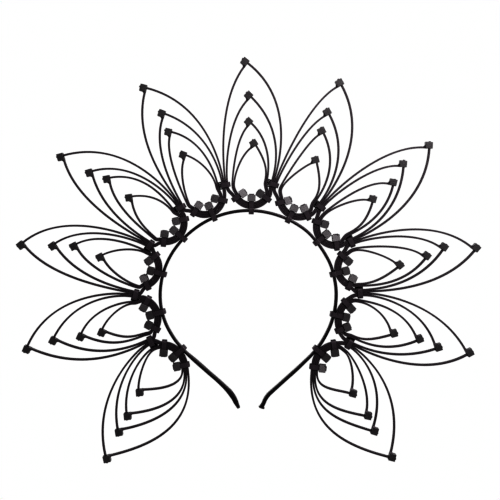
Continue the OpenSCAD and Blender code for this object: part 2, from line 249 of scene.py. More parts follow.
def side_of(pair, side):
    """A value that differs from side to side: clockwise (-1) first, counter-clockwise (1) second."""
    return pair[1 if side > 0 else 0]


def foot_centre(i):
    """Centre of a petal's bend: its seat on the band, and from there out along the petal's axis by
    half the band, the gap and the bend's radius."""
    petal = PETALS[i]
    dist = np.interp(from_below(petal.seat), LINE_ANGLE, LINE_DIST)
    return dist * unit(petal.seat) + (BAND_T / 2 + SEAT_GAP + petal.foot_r) * unit(petal.axis)


def foot_place(i, a):
    """Split a place round the foot into the degrees on the bend and the straight run after it. The
    run is the rest of the degrees as an arc's length: radius times angle."""
    end = side_of(PETALS[i].bends, 1 if a > 0 else -1)
    bend = a if abs(a) < abs(end) else end
    return bend, (abs(a) - abs(bend)) * PETALS[i].foot_r * np.pi / 180


def foot_run(i, a):
    """Direction in which the straps leave the foot: the tangent at the end of the bend."""
    axis, bend = unit(PETALS[i].axis), np.radians(foot_place(i, a)[0])
    return np.sign(a) * np.cos(bend) * quarter(axis) + abs(np.sin(bend)) * axis


def foot_point(i, k, a):
    """Middle of strap k at a place round the foot: a circle one strap smaller for each loop, and
    past its end a straight run."""
    axis, (degrees, run) = unit(PETALS[i].axis), foot_place(i, a)
    r, bend = PETALS[i].foot_r - STRAP_T / 2 - PITCH * k, np.radians(degrees)
    on_bend = r * (np.sin(bend) * quarter(axis) - np.cos(bend) * axis)
    return foot_centre(i) + on_bend + run * foot_run(i, a)


def foot_end(i, side):
    """Where the straps leave the foot: at the end of the bend or a little past the outer clamp,
    whichever is further round, with the sign of the side."""
    bend, clamp = side_of(PETALS[i].bends, side), side_of(PETALS[i].clamps, side)
    return side * max(abs(bend), abs(clamp) + CLAMP_PAST)


print("radii of the feet:", [petal.foot_r for petal in PETALS], "mm")

# %% [markdown]
# A junction tie holds the two outer loops of one petal against those of the next. The two inner
# loops pass beside it, a little turned. The crown's first and last petals have a side with no
# neighbour, where the loops run free.

# %% The junctions
# How far to the side of a junction tie's middle the four loops pass, and how many degrees the inner
# two are turned there, on a petal's counter-clockwise side and on its clockwise side
PASS_OFF = (0.65, 1.95, 5.45, 6.75)
INNER_TURN = (-14, -1)


def is_tied(i, side):
    """True where a petal has a neighbour on that side. The junction tie there has the petal's own
    number on the counter-clockwise side, and one less on the clockwise side."""
    return 0 <= (i if side > 0 else i - 1) < len(JUNCTIONS)


def junction(j):
    """Middle of a junction tie: its radius times its direction. Also the angle at which the straps
    go through it: the middle's angle plus the tie's turn."""
    r, angle, turn = JUNCTIONS[j]
    return r * unit(angle), angle + turn


def passing(i, side, k):
    """Where loop k passes the junction on one side: the tie's middle, moved towards the petal by the
    loop's offset, square to the straps. Also the loop's direction there."""
    j = i if side > 0 else i - 1
    middle, along = junction(j)
    inner = JUNCTIONS[j].angle + INNER_TURN[0 if side > 0 else 1]
    return middle - side * PASS_OFF[k] * quarter(unit(along)), unit(along if k < 2 else inner)


free_sides = [(i, side) for i in range(len(PETALS)) for side in (1, -1) if not is_tied(i, side)]
print("sides of petals that no junction tie holds:", len(free_sides))

# %% [markdown]
# A head's place is in the table, but its direction follows from its loop. Both ends of the strap
# pull at it, so it points straight away from the loop's waist, give or take a few degrees.

# %% The heads
def tip(i, k):
    """Middle of loop k's head: its distance from the ring's centre times its direction."""
    return PETALS[i].tip_r[k] * unit(PETALS[i].tip_angle[k])


def loop_dir(i, k):
    """Angle at which loop k's head points: from the middle of its waist to the head, plus the head's
    own turn."""
    waist = [passing(i, s, k)[0] if is_tied(i, s) else foot_point(i, k, foot_end(i, s)) for s in (1, -1)]
    return angle_of(tip(i, k) - (waist[0] + waist[1]) / 2) + PETALS[i].turns[k]


def head_place(i, k):
    """Middle of the slot in the face that the free end enters, the direction in which the strap
    leaves, and the direction in which the free end goes through. These two are 135 and 45 degrees
    from the loop's direction. From the head's middle, the slot is half a head less SLOT_BACK along
    the first of them, and half a head back along the second."""
    d = loop_dir(i, k)
    strap_dir, slot_dir = unit(d + 135), unit(d + 45)
    slot = tip(i, k) + (HEAD_L / 2 - SLOT_BACK) * strap_dir - HEAD_H / 2 * slot_dir
    return slot, strap_dir, slot_dir


print("direction of the top petal's outer head: %.1f degrees" % loop_dir(TOP, 0))

# %% [markdown]
# Between foot and junction, the second loop is the first one moved sideways by one strap, and the
# fourth is the third one moved. So they can't cross. How far a cubic keeps to its first direction
# is its reach, here a share of the distance that it spans.

# %% From the foot to the junction
KNEE_STEPS, KNEE_REACH = 10, 0.35
# Half of the straight run under a junction tie
PASS_HALF = STRAP_W / 2 + 0.1


def shifted(path, d0, d1, dist):
    """A line moved sideways by a distance, square to its own direction at each point."""
    d = np.concatenate([[d0], path[2:] - path[:-2], [d1]])
    return path + dist * unit_rows(quarter(d))


def knee(i, side, k):
    """The strap from the foot to the junction: a cubic for the outer loop of each pair, and that line
    moved one strap further in for the other. Both pairs have the same reach."""
    outer = k - k % 2
    start, away = foot_point(i, outer, foot_end(i, side)), foot_run(i, foot_end(i, side))
    p, d = passing(i, side, outer)
    reach = KNEE_REACH * np.linalg.norm(passing(i, side, 0)[0] - foot_point(i, 0, foot_end(i, side)))
    p = p - (PASS_HALF if k < 2 else 0) * d
    path = np.concatenate([[start], cubic(start, away, reach, p, d, reach, KNEE_STEPS)])
    return path if k == outer else shifted(path, away, d, -side * PITCH)


print("from the foot to the junction: %.0f mm" % lengths_along(knee(TOP, 1, 0))[-1])

# %% [markdown]
# Above the junction a nylon strap springs outwards, more or less as its maker pulled it. So each
# strand has a bow of its own there, which the table gives. The last function lays the pieces end to
# end: down one side, round the foot, up the other side and out through the slot.

# %% From the junction to the head, and the whole loop
STRAND_STEPS, FOOT_STEPS = 34, 26
# Reach of the cubic above a junction for each loop, and of one that has no junction
JUNCTION_REACH, FREE_REACH = (0.12, 0.12, 0.16, 0.25), 0.5


def strand(i, side, k):
    """The strap from the foot, past the junction, up to the head. Its last part is a cubic, whose
    reach at either end is a share of its span."""
    slot, strap_dir, slot_dir = head_place(i, k)
    end, end_dir = ((slot + SLOT_BACK * strap_dir + STRAP_T / 2 * slot_dir, -strap_dir) if side > 0
                    else (slot, slot_dir))
    bow = side_of(BOWS[i], side)[k]
    if not is_tied(i, side):
        start, away = foot_point(i, k, foot_end(i, side)), foot_run(i, foot_end(i, side))
        span = np.linalg.norm(end - start)
        return np.concatenate([[start], cubic(start, away, span * FREE_REACH, end, end_dir, span * bow,
                                              STRAND_STEPS + KNEE_STEPS)])
    way, d = knee(i, side, k), passing(i, side, k)[1]
    p = way[-1] + (2 * PASS_HALF if k < 2 else 0) * d
    span = np.linalg.norm(end - p)
    middle = [p[None]] if k < 2 else []
    return np.concatenate([way] + middle + [
        cubic(p, d, span * JUNCTION_REACH[k], end, end_dir, span * bow, STRAND_STEPS)])


def loop_line(i, k, tail):
    """The whole middle line of a loop, from its root inside the head to its cut end."""
    slot, strap_dir, slot_dir = head_place(i, k)
    first, last = foot_end(i, 1), foot_end(i, -1)
    root = slot + (SLOT_BACK - ROOT) * strap_dir + STRAP_T / 2 * slot_dir
    foot = [foot_point(i, k, first + (last - first) * n / FOOT_STEPS) for n in range(1, FOOT_STEPS)]
    return np.concatenate([[root], strand(i, 1, k)[::-1], foot, strand(i, -1, k),
                           [slot + (HEAD_H + tail) * slot_dir]])


strap_lengths = [lengths_along(loop_line(TOP, k, TAIL))[-1] for k in range(LOOPS)]
print("straps of the top petal:", [round(length) for length in strap_lengths], "mm")

# %% [markdown]
# ## From a line to a strap
#
# A strap could be a curve object with a bevel profile. But the face that grips has teeth, and a
# bevel profile can't change on its way. So the strap is a grid: rings of twelve points, carried
# along the line. The rings follow the line's own points and the teeth, two rings for each tooth,
# one on its crest and one in its valley. That makes a row of ramps, as on a real strap, at the
# cost of about two hundred faces a centimetre. This cell says where the rings go.

# %% Places of a strap's rings
# A tooth's pitch and depth, and its valley's place as a share of the pitch
TOOTH, TOOTH_DEPTH, VALLEY = 1.5, 0.32, 0.8
# Lengths without teeth, at the start of a long tie, at that of a short one and at the end of both,
# and the ramp that leads into the first tooth
SMOOTH_START, SHORT_START, SMOOTH_END, LEAD_IN = 7.0, 4.0, 0.35, 0.3
# A ring keeps this distance from a tooth's ring, and from another
TOOTH_MARGIN, RING_MARGIN = 0.12, 0.02
# The neck beside the head: its length and the number of its rings
NECK_L, NECK_RINGS = 1.5, 5


def stations(line, smooth_start):
    """Lengths along a line at its own points, lengths where a ring goes, and how deep the teeth are
    at the rings. A crest is at every whole pitch, its valley four fifths of a pitch further."""
    s = lengths_along(line)
    crest = np.arange(smooth_start, s[-1] - SMOOTH_END - TOOTH, TOOTH)
    teeth = np.stack([crest, crest + VALLEY * TOOTH], axis=1).ravel()
    neck = ROOT + NECK_L * np.linspace(0, 1, NECK_RINGS)
    own = np.concatenate([s, neck[neck < s[-1]]])
    if len(teeth):
        own = own[np.abs(own[:, None] - teeth[None]).min(axis=1) > TOOTH_MARGIN]
    at = np.unique(np.round(np.concatenate([own, teeth, s[[0, -1]]]), 4))
    at = at[np.concatenate([[True], np.diff(at) > RING_MARGIN])]
    marks = np.concatenate([[smooth_start - LEAD_IN], teeth, [s[-1] - SMOOTH_END]])
    depth = np.concatenate([[0], np.tile([0, TOOTH_DEPTH], len(crest)), [0]])
    return s, at, np.interp(at, marks, depth)


line = loop_line(TOP, 0, TAIL)
print("rings on one outer strap:", len(stations(line, SMOOTH_START)[1]), "line points:", len(line))

# %% [markdown]
# Straps, heads and the band are all rows of rings with as many points each, so one helper names
# the faces of them all. Every face between two rings has four corners.

# %% Faces between rings
def closed_grid(rings, around, cap):
    """Faces between rings of points, closed round each ring. With cap, both ends get one face.
    Without it, the last ring joins the first, as on a torus."""
    r, c = np.arange(rings - 1 if cap else rings)[:, None], np.arange(around)[None]
    here, there = r * around, (r + 1) % rings * around
    nxt = (c + 1) % around
    quads = np.stack([here + c, here + nxt, there + nxt, there + c], axis=-1).reshape(-1, 4).tolist()
    if cap:
        quads += [list(range(around))[::-1], list(range((rings - 1) * around, rings * around))]
    return quads


print("a tube of 3 rings of 4 points has", len(closed_grid(3, 4, cap=True)), "faces")

# %% [markdown]
# The ring itself is the strap's cross-section: a flat outer face with rounded edges, and an inner
# face whose teeth lie between two smooth rails. Close to the head the outer face swells into a
# neck, because a moulded strap meets its head in a curve and not in a corner. Straps in a real
# bundle touch, so each is drawn a little thicker than measured, which fills most of the gaps.

# %% The strap's surface
# Rounding of the edges, width of a rail and of the slope beside it
EDGE, RAIL, RAIL_SLOPE = 0.16, 0.55, 0.08
# How far the neck grows outwards and to each side, and how much thicker each face is drawn
NECK_H, NECK_W, SWELL = 1.5, 0.5, 0.04
# The side of its line on which a tie's bundle lies
LEFT, RIGHT = 1, -1


def strap(line, inner, smooth_start=SMOOTH_START, end_tilt=0.0):
    """Vertices (rings x 12 x 3: two coordinates in the tie's plane, and the width) and their faces.
    inner is the side of the line on which the bundle lies. At the root a neck grows on the outer
    face, by a squared ramp. end_tilt slants the cut end: a point moves along the strap by this
    times its distance from the middle line."""
    s, at, depth = stations(line, smooth_start)
    middle = read_at(at, s, line)
    ahead = unit_rows(read_at(at, s, unit_rows(np.gradient(line, axis=0))))
    ramp = np.clip(1 - (at - ROOT) / NECK_L, 0, 1) ** 2
    top = np.full(len(at), STRAP_T / 2 + SWELL)
    out, low, edge = -top - NECK_H * ramp, top - depth, top - EDGE
    half_w = STRAP_W / 2 + NECK_W * ramp
    rail = half_w - RAIL
    width = np.stack([-half_w + EDGE, half_w - EDGE, half_w, half_w, half_w - EDGE, rail, rail - RAIL_SLOPE,
                      -rail + RAIL_SLOPE, -rail, -half_w + EDGE, -half_w, -half_w], axis=1)
    across = np.stack([out, out, out + EDGE, edge, top, top, low,
                       low, top, top, edge, out + EDGE], axis=1)
    flat = middle[:, None, :] + quarter(ahead)[:, None, :] * across[..., None] * inner
    flat[-1] += ahead[-1] * (across[-1] * end_tilt)[:, None]
    points = np.concatenate([flat, width[..., None]], axis=2)
    return points, closed_grid(points.shape[0], points.shape[1], cap=True)


points, faces = strap(line, LEFT)
print("one outer strap:", points.shape[0], "rings,", len(faces), "faces")

# %% [markdown]
# ## The head
#
# A tie's head is a small box with rounded edges and a slot through it. A modifier that cuts one
# shape out of another would leave long thin faces. Instead the head is a closed sleeve: one ring of
# points runs round the slot, one round the box, and the surface goes from one to the other and back,
# like a torus. Where the strap leaves the head again, the slot is longer, with a ramp behind the
# strap's teeth. That is the tongue which locks the strap.

# %% The head's surface
CORNER_POINTS = 5
# Clearance round a strap in its slot
SLOT_GAP = 0.2


def rounded_ring(x0, x1, half_w, r):
    """Points of a rectangle with round corners: each corner is a quarter circle."""
    turn = np.radians(np.linspace(0, 90, CORNER_POINTS))
    c, s = np.cos(turn) * r, np.sin(turn) * r
    x = np.concatenate([x1 - r + c, x0 + r - s, x0 + r - c, x1 - r + s])
    z = np.concatenate([half_w - r + s, half_w - r + c, -half_w + r - s, -half_w + r - c])
    return np.stack([x, z], axis=1)


def head():
    """Vertices of a head (rings x points x 3) in its own frame: x along the attached strap, from its
    end to the far end, y towards the bundle, z across. Each ring is a rectangle at a height y."""
    near, far, half = -SLOT_BACK, HEAD_L - SLOT_BACK, HEAD_W / 2
    slot_x, slot_z = STRAP_T / 2 + SLOT_GAP, STRAP_W / 2 + SLOT_GAP
    rings = [
        # height, low end, high end, half width, corner radius
        # The slot where the free end enters, and its bevel
        (-0.3, -slot_x, slot_x, slot_z, 0.15),
        (0, -slot_x - 0.25, slot_x + 0.25, slot_z + 0.2, 0.3),
        # The box, with its edges rounded in steps
        (0, near + 0.14, far - 0.14, half - 0.14, 0.15),
        (-0.04, near + 0.04, far - 0.04, half - 0.04, 0.2),
        (-0.14, near, far, half, 0.22),
        (-HEAD_H + 0.16, near, far, half, 0.22),
        (-HEAD_H + 0.05, near + 0.05, far - 0.05, half - 0.05, 0.2),
        (-HEAD_H, near + 0.16, far - 0.16, half - 0.16, 0.15),
        # The slot where the free end comes out, and the tongue's ramp
        (-HEAD_H, -2.2, slot_x + 0.15, slot_z + 0.1, 0.2),
        (-HEAD_H + 0.25, -2.0, slot_x, slot_z, 0.15),
        (-HEAD_H + 0.9, -1.8, slot_x, slot_z, 0.15),
        (-HEAD_H + 2.2, -slot_x, slot_x, slot_z, 0.15),
    ]
    ring = np.stack([rounded_ring(*r[1:]) for r in rings])
    height = np.broadcast_to(np.array([r[0] for r in rings])[:, None], ring.shape[:2])
    return np.stack([ring[..., 0], height, ring[..., 1]], axis=2)


HEAD = head()
HEAD_FACES = closed_grid(HEAD.shape[0], HEAD.shape[1], cap=False)
print("a head:", HEAD.shape[0] * HEAD.shape[1], "points,", len(HEAD_FACES), "faces")

# %% [markdown]
# ## From surfaces to pieces
#
# Each tie is flat in one plane, so one small matrix puts it in place: two directions in the plane,
# a third across the strap, and an origin. The sign of a closed surface's volume tells whether its
# faces point outwards, and faces that point inwards are turned over.

# %% Put a tie in its place
# A tie has two surfaces, and each says which it is
STRAP, TIE_HEAD = 0, 1


def volume(v, faces):
    """Signed volume of a closed surface: a sixth of the sum of the triple products of its fans."""
    tri = np.array([(f[0], f[n], f[n + 1]) for f in faces for n in range(1, len(f) - 1)])
    a, b, c = v[tri[:, 0]], v[tri[:, 1]], v[tri[:, 2]]
    return (a * np.cross(b, c)).sum() / 6


def placed(points, origin, e1, e2):
    """Flat coordinates (along e1, along e2, across) turned into the crown's own frame."""
    basis = np.stack([e1, e2, np.cross(e1, e2)])
    return points.reshape(-1, 3) @ basis + origin


def outward(v, faces):
    """The same faces, turned over where they point inwards."""
    return faces if volume(v, faces) > 0 else [f[::-1] for f in faces]


def tie(line, slot, strap_dir, slot_dir, inner, origin, e1, e2, sleeve=HEAD, smooth_start=SMOOTH_START,
        end_tilt=0.0):
    """One tie as two closed surfaces: its strap, and its head turned so that its own x runs against
    the attached strap and its own y against the slot's direction."""
    points, strap_faces = strap(line, inner, smooth_start, end_tilt)
    flat = slot - sleeve[..., :1] * strap_dir - sleeve[..., 1:2] * slot_dir
    head_points = np.concatenate([flat, sleeve[..., 2:]], axis=2)
    shells = []
    for p, f, kind in ((points, strap_faces, STRAP), (head_points, HEAD_FACES, TIE_HEAD)):
        v = placed(p, origin, e1, e2)
        shells.append((v, outward(v, f), kind))
    return shells


print("volume of a head: %.0f cubic millimetres" % abs(volume(HEAD.reshape(-1, 3), HEAD_FACES)))

# %% [markdown]
# A piece is one object, even where it is three ties. It stays at the origin, unturned, with its
# place in the mesh, as the measured model has it. Moulded edges are small curves, so the shading is
# smooth, and only sharper angles stay creases.

# %% Make an object from surfaces
# Edges sharper than this many degrees stay creases
CREASE = 38


def make_piece(name, shells, materials, node):
    """One object from several closed surfaces, riding on the crown's body in place of a node. Each
    surface says which of the materials it has: the first is a strap's, the last a head's."""
    vertices, faces, kinds, start = [], [], [], 0
    for v, f, kind in shells:
        vertices.append(v * MM)
        faces += [[n + start for n in face] for face in f]
        kinds += [kind] * len(f)
        start += len(v)
    mesh = bpy.data.meshes.new(name)
    mesh.from_pydata(np.concatenate(vertices).tolist(), [], faces)
    mesh.polygons.foreach_set("use_smooth", np.ones(len(mesh.polygons), bool))
    mesh.set_sharp_from_angle(angle=np.radians(CREASE))
    for material in materials:
        mesh.materials.append(material)
    mesh.polygons.foreach_set("material_index", kinds)
    piece = bpy.data.objects.new(name, mesh)
    bpy.context.scene.collection.objects.link(piece)
    weighted = piece.modifiers.new("Flat faces stay flat", "WEIGHTED_NORMAL")
    weighted.keep_sharp = True
    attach(piece, "root")
    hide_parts(node)
    return piece


print("the outer tie of the top petal has", len(faces) + len(HEAD_FACES), "faces")

# %% [markdown]
# ## Black nylon
#
# The ties are moulded in black nylon. It is hardly shiny: the mould's fine grain shows as a soft
# sheen, a bit duller in some places than in others, and one grain is less than half a millimetre
# across. Noise on Object coordinates gives both. The grain goes into a Bump node, because real
# relief of that size would take millions of faces.

# %% Make a material from noise
NYLON_IOR = 1.53
# How many patches of duller and shinier plastic go on a metre
PATCHES = 90.0
# Noise is 0 to 1, mostly near a half. Between these values the colour and the sheen change over.
COLOUR_SPAN, DULL_SPAN = (0.3, 0.72), (0.3, 0.7)
# In pictures the sheen of black nylon holds a little less green than white light does
SHEEN = (1, 0.88, 0.96, 1)


def node_of(tree, kind, **values):
    """Add a shader node and set its inputs by name, with _ for a space."""
    node = tree.nodes.new(kind)
    for name, value in values.items():
        node.inputs[name.replace("_", " ")].default_value = value
    return node


def black_plastic(name, dark, light, rough, grain, grain_depth, specular=0.5, tint=SHEEN):
    """Black plastic: colour and roughness drift over patches, and fine grain lifts the surface."""
    material = bpy.data.materials.new(name)
    material.use_nodes = True
    tree = material.node_tree
    shader = tree.nodes["Principled BSDF"]
    shader.inputs["Specular IOR Level"].default_value = specular
    shader.inputs["IOR"].default_value = NYLON_IOR
    shader.inputs["Specular Tint"].default_value = tint
    where = tree.nodes.new("ShaderNodeTexCoord").outputs["Object"]
    patches = node_of(tree, "ShaderNodeTexNoise", Scale=PATCHES, Detail=5.0, Roughness=0.6)
    fine = node_of(tree, "ShaderNodeTexNoise", Scale=grain, Detail=3.0, Roughness=0.55)
    for noise in (patches, fine):
        tree.links.new(where, noise.inputs["Vector"])
    colour = tree.nodes.new("ShaderNodeValToRGB")
    for element, position, shade in zip(colour.color_ramp.elements, COLOUR_SPAN, (dark, light)):
        element.position, element.color = position, (*shade, 1)
    tree.links.new(patches.outputs["Fac"], colour.inputs["Fac"])
    tree.links.new(colour.outputs["Color"], shader.inputs["Base Color"])
    dull = node_of(tree, "ShaderNodeMapRange", From_Min=DULL_SPAN[0], From_Max=DULL_SPAN[1],
                   To_Min=rough[0], To_Max=rough[1])
    tree.links.new(patches.outputs["Fac"], dull.inputs["Value"])
    tree.links.new(dull.outputs["Result"], shader.inputs["Roughness"])
    bump = node_of(tree, "ShaderNodeBump", Strength=0.6, Distance=grain_depth)
    tree.links.new(fine.outputs["Fac"], bump.inputs["Height"])
    tree.links.new(bump.outputs["Normal"], shader.inputs["Normal"])
    return material


print("patches of the sheen: about %.0f mm" % (1 / PATCHES / MM))

# %% [markdown]
# One nylon is drawn in three copies here, and their colours differ only as painted light and shade.
# The long straps show their polished edge, and are painted darkest, as painted shade. The short ties
# show their broad face, painted a little paler. The heads come out of a grained part of the mould,
# and are painted greyest, as a painted highlight. All three are the same recipe with other numbers:
# colours, roughness, grains to a metre and their depth in metres.

# %% The ties' nylon: three copies, with painted light and shade in their colours
# The long straps are painted darkest: painted shade on a strap seen on its edge
strap_nylon_painted_shade = black_plastic(
    "Black nylon strap, painted shade", dark=(0.0072, 0.0053, 0.0068), light=(0.0108, 0.0083, 0.0102),
    rough=(0.42, 0.54), grain=2600, grain_depth=0.00004)
# The short ties' straps are painted a little paler: painted light on their broad faces
broad_nylon_painted_light = black_plastic(
    "Black nylon broad strap, painted light", dark=(0.0140, 0.0112, 0.0134), light=(0.0188, 0.0154, 0.0181),
    rough=(0.46, 0.58), grain=2600, grain_depth=0.00004)
# The heads are painted greyest: a painted highlight, over a grain that is their own
head_nylon_painted_highlight = black_plastic(
    "Black nylon head, painted highlight", dark=(0.0215, 0.0197, 0.0208), light=(0.0290, 0.0269, 0.0281),
    rough=(0.38, 0.50), grain=2200, grain_depth=0.00005, tint=(1, 0.95, 0.98, 1))
long_tie, short_tie = (strap_nylon_painted_shade, head_nylon_painted_highlight), (broad_nylon_painted_light, head_nylon_painted_highlight)
print("materials:", [material.name for material in (strap_nylon_painted_shade, broad_nylon_painted_light, head_nylon_painted_highlight)])

# %% [markdown]
# ## The petals
#
# Forty-four loops, four to a petal. Each is one piece with its own name. The cut ends differ a
# little in length and slant, because every one of them was snipped by hand. The differences are
# drawn from a fixed seed, so the crown comes out the same each time.

# %% Make the loops
SEED = 11
random = np.random.default_rng(SEED)
# Most that a snip takes off a tail, and the range of its slants: rise along the strap over run across
SNIP_SHORT, SNIP_SLANT = 0.25, 0.6
# Where a flat piece lies: its origin, and its two directions in the plane
FLAT = (np.array([0, 0, MID_Z]), np.array([1.0, 0, 0]), np.array([0, 1.0, 0]))


def snip():
    """Length and slant of one cut end: the tail less a random share of what a snip takes off, and a
    random slant to either side."""
    return TAIL - SNIP_SHORT * random.random(), SNIP_SLANT * (random.random() - 0.5)


petals = []
for i in range(len(PETALS)):
    for k in range(LOOPS):
        tail, slant = snip()
        shells = tie(loop_line(i, k, tail), *head_place(i, k), LEFT, *FLAT, end_tilt=slant)
        name = "petal_%02d_loop_%d" % (i + 1, k + 1)
        petals.append(make_piece("tie_" + name, shells, long_tie, name))
print("loops:", len(petals), "faces:", sum(len(p.data.polygons) for p in petals))

# %% [markdown]
# ## The ties round a bundle
#
# A clamp or a junction tie is the same tie, closed round a bundle: it starts in its head, goes
# under the bundle, up, over, and down through the slot. Its corners are arcs. The middle clamp of
# a petal goes round the hair band too, and the band is deeper than a strap is wide, so that clamp
# widens on its way.

# %% A tie's line round a bundle
# Radius of a corner at the strap's middle: 0.3 mm inside, and half the strap
CORNER_R = STRAP_T / 2 + 0.3
CORNER_STEPS = 6


def corner(a, b, c, r):
    """The corner at b between a and c as an arc of radius r, which touches both sides. It begins
    before b by the radius times the tangent of half the turn."""
    d0, d1 = (b - a) / np.linalg.norm(b - a), (c - b) / np.linalg.norm(c - b)
    turn = np.arctan2(d0[0] * d1[1] - d0[1] * d1[0], d0 @ d1)
    side = np.sign(turn) * quarter(d0)
    centre = b - abs(np.tan(turn / 2)) * r * d0 + r * side
    f = np.linspace(0, abs(turn), CORNER_STEPS + 1)[:, None]
    return centre - r * np.cos(f) * side + r * np.sin(f) * d0


def round_bundle(wide, high, far_w, near_h, tail):
    """Line of a tie round a bundle that stands on the origin: wide at its foot, far_w wide above
    near_h. The line keeps half a strap and a gap away from the bundle. Also its slot, its strap's
    direction and its slot's direction."""
    off = TIE_GAP + STRAP_T / 2
    near, far = wide / 2 + off, far_w / 2 + off
    step = [(near, near_h - (far - near)), (far, near_h)] if far_w > wide else []
    points = ([(near - SLOT_BACK + ROOT, -off), (-near, -off)] + [(-x, y) for x, y in step]
              + [(-far, high + off), (far, high + off)] + step[::-1]
              + [(near, -TIE_GAP - HEAD_H - tail)])
    points = [np.array(p, float) for p in points]
    arcs = [corner(*points[n - 1:n + 2], CORNER_R) for n in range(1, len(points) - 1)]
    line = np.concatenate([points[:1]] + arcs + [points[-1:]])
    return line, np.array([near, -TIE_GAP]), np.array([-1.0, 0]), np.array([0, -1.0])


junction_line = round_bundle(STACK, STRAP_W, STACK, STRAP_W, -FLUSH_CUT)
print("strap of a junction tie: %.0f mm" % lengths_along(junction_line[0])[-1])

# %% [markdown]
# The far ends of the clamps' heads face the viewer, and some of them catch the light, because each
# tie leans a little its own way. A tie that is turned would cut into its bundle, so the lean is
# only a small slope on the far end of its head, in degrees.

# %% How the clamps' heads lean
LEANS = [
    # clockwise side, middle, counter-clockwise side
    (12, 1, 2), (2, 1, 1), (10, 3, 1), (12, 8, 3), (9, 8, 12), (2, 8, 12), (4, 7, 11), (6, 6, 5),
    (5, 1, 12), (7, 1, 0), (6, 3, 6),
]
# The side of the crown that the key light stands on, and the way to its front
LIGHT_FROM = unit(51)
FRONT = np.array([0, 0, 1.0])
# The slope begins this far past the middle of the slot
SLOPE_START = STRAP_T / 2 + 0.25


def leaning(out, angle):
    """A head whose far end falls away towards the light. The fall at a point is its distance in
    that direction times the angle's tangent, less the smallest fall, so that nothing rises. It
    fades to nothing at the slot."""
    y, z = out @ LIGHT_FROM, quarter(out) @ LIGHT_FROM
    fall = np.tan(np.radians(angle)) * (HEAD[..., 1] * y + HEAD[..., 2] * z)
    fade = np.clip((HEAD[..., 0] - SLOPE_START) / (HEAD_L - SLOT_BACK - SLOPE_START), 0, 1)
    lower = HEAD.copy()
    lower[..., 0] -= (fall - fall.min()) * fade
    return lower


print("largest lean: %.0f degrees" % max(max(leans) for leans in LEANS))

# %% [markdown]
# The clamps sit on the foot's bend like the hands of a clock, their heads inside the petal. Up in
# the clamp's own plane means outwards, away from the petal, so the slot comes to lie at the front.

# %% Make the clamps
def clamp_ties(i):
    """The three clamps of a petal, clockwise side first. How far a head's face is from the bend's
    centre is a leg of a right triangle: the radius inside the innermost strap is its longest side,
    and half a head with its margin is the other leg."""
    petal = PETALS[i]
    inside = np.sqrt((petal.foot_r - STACK) ** 2 - (HEAD_W / 2 + EDGE_GAP) ** 2)
    bundle = petal.foot_r - inside
    shells = []
    for a, angle in zip((petal.clamps[0], 0, petal.clamps[1]), LEANS[i]):
        bend, run = foot_place(i, a)
        out = unit(petal.axis + 180 - bend)
        at = foot_centre(i) + (run * foot_run(i, a) if a else 0) + inside * out
        origin, up = np.array([*at, MID_Z]), np.array([*out, 0])
        tail, slant = snip()
        if a:
            line = round_bundle(STRAP_W, bundle, STRAP_W, bundle, tail)
        else:
            line = round_bundle(STRAP_W, bundle + SEAT_GAP + BAND_T + BAND_GAP, BAND_DEPTH,
                                bundle - BAND_GAP, tail)
        shells += tie(*line, RIGHT, origin, FRONT, up, leaning(out, angle),
                      smooth_start=SHORT_START, end_tilt=slant)
    return shells


clamps = []
for i in range(len(PETALS)):
    name = "petal_%02d_clamps" % (i + 1)
    clamps.append(make_piece("ties_" + name, clamp_ties(i), short_tie, name))
print("clamps:", 3 * len(clamps), "faces:", sum(len(p.data.polygons) for p in clamps))

# %% [markdown]
# A junction tie goes round four straps that stand side by side, two from each petal. Its head is
# at the back, where the crown rests on it, and its tail is cut flush, so that it doesn't lift the
# crown. All ten are one piece, because they differ in nothing but their places.

# %% Make the junction ties
shells = []
for j in range(len(JUNCTIONS)):
    middle, along = junction(j)
    origin, across = np.array([*middle, MID_Z - STRAP_W / 2]), np.array([*-unit(along - 90), 0])
    shells += tie(*junction_line, RIGHT, origin, across, FRONT, smooth_start=SHORT_START)
junctions = make_piece("ties_junctions", shells, short_tie, "junction_ties")
print("junction ties:", len(JUNCTIONS), "faces:", len(junctions.data.polygons))

# %% [markdown]
# ## The hair band
#
# The band is a plain satin strip, deeper than it is thick, with rounded edges. It thickens in the
# left arm before a narrow cap, and the right arm ends in a small foot. Again it is a profile on a
# line: a rounded rectangle whose thickness comes from the stations and whose ends close smoothly.
# The ring is drawn a little thicker than measured, because on the real crown the petals touch it.

# %% The band's surface
BAND_POINTS = 20
# Power of the superellipse: 2 would be an ellipse, and a large number a rectangle
SQUARENESS = 4.5
# The ends: lengths over which depth and thickness close, the share that they start from, and
# where the extra rings go
END_DEPTH, END_EDGE, BLUNT = 2.2, 0.5, 0.45
END_RINGS = np.array([0.02, 0.1, 0.25, 0.45, 0.8, 1.3])
# The ring is what is thinner than this, and how much thicker each of its faces is drawn
RING_T, RING_SWELL = 2.15, 0.1


def closing(to_end, length):
    """Goes from 0 at an end to 1 at a length from it, like the height of a quarter circle."""
    return np.sqrt(1 - np.clip(1 - to_end / length, 0, 1) ** 2)


def squared(x):
    """A sine or cosine made squarer: its sign, times its size to the power 2 / SQUARENESS."""
    return np.sign(x) * np.abs(x) ** (2 / SQUARENESS)


